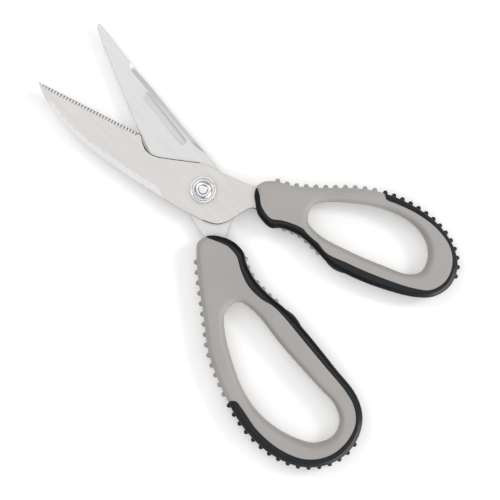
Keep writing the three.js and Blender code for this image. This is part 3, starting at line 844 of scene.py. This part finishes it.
def serrated_blade():
    top, low = FRONT_BLADE_HIGH, FRONT_BLADE_LOW
    (_, tip_y), (_, heel_y) = SERRATED["edge"]
    notch = spline(SERRATED["notch"])
    edge = x_on(np.vstack([SERRATED["edge"][0], notch, SERRATED["flank"]]))
    scaler = spline(SERRATED["scaler"])
    throat = spline(SERRATED["throat"])
    back = x_on(np.vstack([SERRATED["nose"], scaler, throat]))
    scaler_high, scaler_low = SERRATED["scaler"][0][1], SERRATED["scaler"][-1][1]

    shadow_line_low = SERRATED["flank"][1][1]
    tang_end = SERRATED["flank"][-1][1]

    pitch = (tip_y - TEETH_STOP - heel_y) / SERRATION_COUNT
    across, shares = np.array(GROOVE_ACROSS).T
    toothed = np.concatenate([heel_y + pitch * (i + across) for i in range(SERRATION_COUNT)])
    y = distinct(toothed,
                 rows_between(tip_y - TIP_MARGIN, heel_y + 0.01, LONG_ROW),
                 rows_between(heel_y - 0.01, NOTCH_END, FINE_ROW),
                 rows_between(NOTCH_END, tang_end + TANG_MARGIN, ROW))

    in_teeth = (y >= heel_y) & (y <= heel_y + pitch * SERRATION_COUNT)
    phase = ((y - heel_y) / pitch) % 1
    cut = np.where(in_teeth, np.interp(phase, np.r_[across, 1], np.r_[shares, 0]), 0)
    width = edge(y) - back(y)
    wider = NOTCH_BREAK * fade(y, *NOTCH_HOLLOW)
    # The edge chamfer's width; above the flank's low point it is wider and painted near-black as
    # a shadow line.
    blanked = np.where(y > shadow_line_low, SHADOW_LINE_WIDTH + wider, EDGE_BREAK)
    bevel = np.where(y > heel_y, np.minimum(TOOTH_BEVEL, TOOTH_SHARE * width), blanked)
    drop = np.where(y > heel_y, TOOTH_DROP * bevel / TOOTH_BEVEL, blanked)

    place = (scaler_high - y) / (scaler_high - scaler_low)
    wave = np.abs(np.sin(math.pi * SCALLOP_COUNT * place)) * (place > 0) * (place < 1)
    past_low, past_high, fade_length = SCALER_RUN_OUT
    blend = fade(y, scaler_low - past_low, scaler_high + past_high, fade_length)
    full_width = np.interp(y, [SCALER_TAPER_FROM, scaler_high],
                           [SCALER_BEVEL, SCALER_TIP_BEVEL])
    on_tang = y < TANG_TOP["serrated"]
    plain_edge = np.where(on_tang, SHADOW_LINE_WIDTH, EDGE_BREAK)
    scaler_width = plain_edge + (full_width - plain_edge) * blend
    bite = SCALLOP_DEPTH * wave * blend
    scaler_drop = np.maximum(plain_edge, SCALER_DROP * (scaler_width - bite) / SCALER_BEVEL)
    outer = back(y) + bite
    flat = np.full(len(y), 1.0)

    columns = [(outer, low + EDGE_BREAK * flat), (outer, top - scaler_drop)]
    inner = back(y) + scaler_width + SCALLOP_RIPPLE * wave * blend
    columns += [(inner, top * flat), (edge(y) - bevel, top * flat)]
    for share, depth in GROOVE_ALONG:
        columns.append((edge(y) - bevel * (1 - share) - SERRATION_BITE * cut * (share == 1),
                        top - drop * share - SERRATION_DEPTH * depth * cut))
    right = columns[-1][0]
    columns += [(right, low + EDGE_BREAK * flat), (right - EDGE_BREAK, low * flat),
                (outer + EDGE_BREAK, low * flat)]

    finishes = [front_steel, ground_lit_steel, shadow_line_steel, serration_shade_steel]
    flat_face, ground, shadow_line, shaded_tick = range(len(finishes))
    tags = np.full((len(columns), len(y)), flat_face)
    # Column 1 is the scaler's bevel, in the lighter ground steel that is partly a painted
    # highlight, and on the tang the painted shadow line.
    tags[1] = np.where(blend > 0.02, ground, np.where(on_tang, shadow_line, flat_face))
    first = 3
    # In the notch and flank the edge faces get the painted shadow line.
    for j in range(first, first + len(GROOVE_ALONG)):
        tags[j][(y < heel_y) & (y > shadow_line_low)] = shadow_line
        # The deep part of each serration gets the painted shade.
        deep = cut[:-1] + cut[1:] > 1.0
        tags[j][:-1][deep] = shaded_tick
    builder = Builder()
    plate_from_rows(y, columns, builder, tags)
    return builder.build("serrated_blade_skin", finishes, HALF_OPENING, SMOOTH_ANGLE)


def plain_blade():
    top, low = REAR_BLADE_HIGH, REAR_BLADE_LOW
    edge = x_on(np.array(PLAIN["edge"], float))
    corner, smooth_spine = PLAIN["spine"][:3], PLAIN["spine"][2:]
    spine = x_on(np.vstack([corner[:2], spline(smooth_spine)]))
    (low_x, low_y), (high_x, high_y) = PLAIN["bevel_line"]
    tip_y, tang_end = PLAIN["edge"][0][1], PLAIN["edge"][-1][1]
    y = distinct(rows_between(tip_y - TIP_MARGIN, ROUND_TIP_END, TIP_ROW),
                 rows_between(ROUND_TIP_END, high_y + 4, 2 * ROW),
                 rows_between(high_y + 4, 20, ROW),
                 rows_between(20, tang_end + TANG_MARGIN, ROW))
    width = spine(y) - edge(y)

    slope = (high_x - low_x) / (high_y - low_y)
    line = low_x + (np.minimum(y, high_y) - low_y) * slope
    reach = spine(y) - (line - SPINE_BEVEL)
    break_width = np.minimum(EDGE_BREAK, width / 4)
    past_line, top_fade = SPINE_FADE_HIGH
    ends = fade(y, SPINE_FADE_LOW[0], math.inf, SPINE_FADE_LOW[1])
    ends *= fade(y, -math.inf, high_y + past_line, top_fade)
    spine_width = np.clip(reach * ends, break_width, None)
    spine_drop = np.clip(spine_width * SPINE_DROP / SPINE_BEVEL, break_width, None)
    ground = fade(y, *BACK_GRIND)
    back_width = break_width + (np.minimum(BACK_BEVEL, 0.5 * width) - break_width) * ground
    back_drop = back_width * BACK_DROP / BACK_BEVEL
    flat = np.full(len(y), 1.0)
    columns = [
        (edge(y), low + back_drop), (edge(y), top - break_width),
        (edge(y) + break_width, top * flat), (spine(y) - spine_width, top * flat),
        (spine(y), top - spine_drop), (spine(y), low + break_width),
        (spine(y) - break_width, low * flat), (edge(y) + back_width, low * flat)]

    finishes = [rear_steel, shaded_steel, shadow_line_steel]
    flat_face, shaded, shadow_line = range(len(finishes))
    tags = np.full((len(columns), len(y)), flat_face)
    # Below the tang's top the spine chamfer gets the painted shadow line.
    tags[3][y < TANG_TOP["plain"]] = shadow_line
    tags[3][spine_width > 1.1 * EDGE_BREAK] = shaded
    builder = Builder()
    plate_from_rows(y, columns, builder, tags)
    return builder.build("plain_blade_skin", finishes, -HALF_OPENING, SMOOTH_ANGLE)


def capsule(start, end, radius, count=12):
    """The outline of a slot with round ends, anticlockwise."""
    start, end = np.array(start, float), np.array(end, float)
    heading = math.atan2(*(end - start)[::-1])
    points = []
    for centre, first in ((start, heading + math.pi / 2), (end, heading - math.pi / 2)):
        for i in range(count + 1):
            angle = first + math.pi * i / count
            points.append(centre + radius * np.array([math.cos(angle), math.sin(angle)]))
    return np.array(points)


LEVEL = 0.9999      # a face whose normal rises this much is flat, and is shaded flat


def subtract(piece, cutter):
    """Cuts one piece with another by an exact boolean, and drops the cutter."""
    piece.modifiers.clear()
    cut = piece.modifiers.new("cut", "BOOLEAN")
    cut.object = cutter
    cut.solver = "EXACT"
    cut.material_mode = "TRANSFER"
    bpy.context.view_layer.update()
    evaluated = piece.evaluated_get(bpy.context.evaluated_depsgraph_get())
    mesh = bpy.data.meshes.new_from_object(evaluated)
    old = piece.data
    piece.modifiers.clear()
    piece.data = mesh
    bpy.data.meshes.remove(old)
    bpy.data.objects.remove(cutter)
    piece.data.set_sharp_from_angle(angle=math.radians(SMOOTH_ANGLE))
    for face in piece.data.polygons:
        face.use_smooth = abs(face.normal.z) < LEVEL


GROOVE_RADIUS = 2.0
GROOVE_DEPTH = 0.5
GROOVE_FLOOR = 0.85      # the dish ends in a flat this share of the way in
BORE_RADIUS = 4.0


def groove_cutter():
    """The oval recess, dished right across."""
    start, end = PLAIN["groove"]
    profile = [(GROOVE_RADIUS + 0.6, 0.4)]
    for share in np.linspace(0, GROOVE_FLOOR, 7):
        profile.append((GROOVE_RADIUS * (1 - share), -GROOVE_DEPTH * (1 - (1 - share) ** 2)))
    builder = Builder()
    ids = builder.loft([at_height(capsule(start, end, radius), REAR_BLADE_HIGH + rise)
                        for radius, rise in profile])
    builder.add_face(tuple(ids[0]))
    builder.add_face(tuple(ids[-1]))
    # Its faces carry the groove steel, lighter as painted light in the dish, onto the blade.
    return builder.build("groove_cutter", [groove_lit_steel], -HALF_OPENING)


def bore_cutter():
    builder = Builder()
    circle = capsule((0, 0), (0.001, 0), BORE_RADIUS, 32)
    ids = builder.loft([at_height(circle, z) for z in (-5, 20)])
    builder.add_face(tuple(ids[0]))
    builder.add_face(tuple(ids[-1]))
    return builder.build("bore_cutter", [rear_steel])


def make_blades():
    front = serrated_blade()
    subtract(front, bore_cutter())
    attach(front, "thumb_half")
    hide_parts("serrated_blade")

    rear = plain_blade()
    subtract(rear, bore_cutter())
    subtract(rear, groove_cutter())
    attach(rear, "finger_half")
    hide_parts("plain_blade")


make_blades()

# ------------------------------------------------------------------ pivot

NUT_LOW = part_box("pivot_nut")[0].z / MM
NUT_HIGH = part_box("pivot_nut")[1].z / MM
BOLT_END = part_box("pivot_bolt")[1].z / MM
NUT_RADIUS = 6.75
NUT_TEETH = 40
TOOTH_DEPTH = 0.42
TOOTH_GAP = 0.36         # half width of the V between teeth, as a share of the pitch
THREAD_RADIUS = 2.3
FLANGE_HEIGHT = 2.0
RING_GROOVE_DEPTH = 0.7
DOME_FOOT = 4.6          # radius at the foot of the dome
DOME_ROUND = 2.0         # how far the dome's shoulder comes in
DOME_RISE = 1.7          # how far it rises over that
BOLT_GAP = 0.05          # clearance under the washer and under the nut


def turned(profile, name, finish, segments=96, smooth_angle=35):
    """A solid of revolution from (radius, z) points; a radius may be a function of angle.

    A profile that ends where it starts makes a ring; any other is capped at both ends.
    """
    builder = Builder()
    rings = []
    for radius, z in profile:
        ring = []
        for i in range(segments):
            angle = 2 * math.pi * i / segments
            r = radius(angle) if callable(radius) else radius
            ring.append((r * math.cos(angle), r * math.sin(angle), z))
        rings.append(np.array(ring))
    ids = builder.loft(rings)
    if profile[0] != profile[-1]:
        builder.add_face(tuple(ids[0]))
        builder.add_face(tuple(ids[-1]))
    return builder.build(name, [finish], 0, smooth_angle)


def knurled(radius):
    """A toothed rim: flat-topped teeth with V gaps, as a function of angle."""
    def at(angle):
        share = (angle * NUT_TEETH / (2 * math.pi)) % 1
        gap = max(0.0, 1 - abs(share - 0.5) / TOOTH_GAP)
        return radius - TOOTH_DEPTH * gap
    return at


def pivot_nut():
    """A knurled flange with a ring groove, and the dome inside the groove."""
    flange = NUT_LOW + FLANGE_HEIGHT
    groove = flange - RING_GROOVE_DEPTH
    crest = NUT_HIGH - DOME_RISE
    profile = [(THREAD_RADIUS + 0.08, NUT_LOW), (NUT_RADIUS - 0.6, NUT_LOW),
               (knurled(NUT_RADIUS - 0.12), NUT_LOW + 0.12), (knurled(NUT_RADIUS), NUT_LOW + 0.3),
               (knurled(NUT_RADIUS), flange - 0.3), (knurled(NUT_RADIUS - 0.12), flange - 0.1),
               (6.2, flange), (5.85, flange), (5.7, flange - 0.06), (5.55, flange - 0.25),
               (5.4, groove + 0.1), (5.2, groove), (4.85, groove), (4.68, groove + 0.06),
               (DOME_FOOT, groove + 0.2), (DOME_FOOT, groove + 0.7)]
    profile += [(DOME_FOOT - DOME_ROUND * (1 - math.cos(a)), crest + DOME_RISE * math.sin(a))
                for a in np.radians(np.arange(6, 90, 7))]
    profile += [(2.55, NUT_HIGH - 0.01), (THREAD_RADIUS + 0.16, NUT_HIGH - 0.05),
                (THREAD_RADIUS + 0.08, NUT_HIGH - 0.2)]
    piece = turned(profile + [profile[0]], "pivot_nut_skin", nut_steel, NUT_TEETH * 8)
    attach(piece, "nut")
    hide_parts("pivot_nut")


def pivot_bolt():
    """The low round head, the shank through both blades and the threaded end."""
    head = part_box("head_washer")[0].z / MM - BOLT_GAP
    shoulder = NUT_LOW - BOLT_GAP
    profile = [(6.7, 0.0), (7.0, 0.05), (7.25, 0.2), (7.42, 0.42), (7.5, 0.7), (7.5, head - 0.15),
               (7.35, head), (3.95, head), (3.95, shoulder), (THREAD_RADIUS, shoulder),
               (THREAD_RADIUS, BOLT_END - 0.5), (2.2, BOLT_END - 0.22), (1.95, BOLT_END - 0.06),
               (1.7, BOLT_END)]
    piece = turned(profile, "pivot_bolt_skin", nut_steel)
    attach(piece, "finger_half")
    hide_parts("pivot_bolt")


pivot_nut()
pivot_bolt()

for node in ("head_washer", "spring_washer", "thumb_upper_pin", "thumb_lower_pin",
             "finger_upper_pin", "finger_lower_pin"):
    bpy.data.objects[node].data.materials.clear()
    bpy.data.objects[node].data.materials.append(hidden_steel)

# ------------------------------------------------------------------ stage, light, camera


FLOOR_GAP = 0.0001

# (right, up, height) in metres from the picture's centre, (width, depth), watts
LIGHTS = {
    "overhead": ((0, 0, 1.5), (2, 2), 12),
    "window": ((-0.9, 0.95, 1.1), (1.2, 1.2), 8),
    "key": ((0.9, 0.35, 0.95), (0.3, 0.3), 4.4),
    "fill": ((-0.9, -0.9, 0.9), (1, 1), 1.2),
    "low_strip": ((1.1, -1.0, 0.25), (1.6, 0.5), 18),
}


def stage():
    bpy.ops.mesh.primitive_plane_add(size=6, location=(0, 0, HANDLE_BACK * MM - FLOOR_GAP))
    floor = bpy.context.object
    floor.name = "floor"
    nodes = Nodes("pale_floor")
    set_shader(nodes, Base_Color=(0.95, 0.95, 0.95, 1), Roughness=0.9,
               Emission_Color=(1, 1, 1, 1), Emission_Strength=0.12)
    floor.data.materials.append(nodes.material)


def area_light(name, place, size, power, target):
    data = bpy.data.lights.new(name, "AREA")
    data.shape = "RECTANGLE"
    data.size, data.size_y = size
    data.energy = power
    light = bpy.data.objects.new(name, data)
    light.location = place
    direction = Vector(target) - Vector(place)
    light.rotation_euler = direction.to_track_quat("-Z", "Y").to_euler()
    bpy.context.scene.collection.objects.link(light)


PICTURE_TURN = math.radians(44.5)     # the picture's up, turned from the row's +Y
PICTURE_CENTRE = (-4.4 * MM, -37.7 * MM)
CAMERA_HEIGHT = 0.9
FRAME_WIDTH = 0.25
SENSOR = 36.0


def picture_to_row(right, up, height):
    """A place given along the picture's right and up from its centre, in metres."""
    c, s = math.cos(PICTURE_TURN), math.sin(PICTURE_TURN)
    return (PICTURE_CENTRE[0] + right * c + up * s,
            PICTURE_CENTRE[1] - right * s + up * c, height)


def camera():
    data = bpy.data.cameras.new("camera")
    data.sensor_width = SENSOR
    data.lens = SENSOR * CAMERA_HEIGHT / FRAME_WIDTH
    eye = bpy.data.objects.new("camera", data)
    eye.location = (*PICTURE_CENTRE, CAMERA_HEIGHT + HANDLE_MID * MM)
    eye.rotation_euler = (0, 0, -PICTURE_TURN)
    bpy.context.scene.collection.objects.link(eye)
    bpy.context.scene.camera = eye


def lighting():
    world = bpy.data.worlds.new("studio")
    world.use_nodes = True
    background = world.node_tree.nodes["Background"]
    background.inputs["Color"].default_value = (1, 1, 1, 1)
    background.inputs["Strength"].default_value = 0.3
    bpy.context.scene.world = world
    bpy.context.scene.view_settings.view_transform = "Standard"
    centre = (*PICTURE_CENTRE, 0)
    for name, (place, size, power) in LIGHTS.items():
        area_light(name, picture_to_row(*place), size, power, centre)


stage()
lighting()
camera()
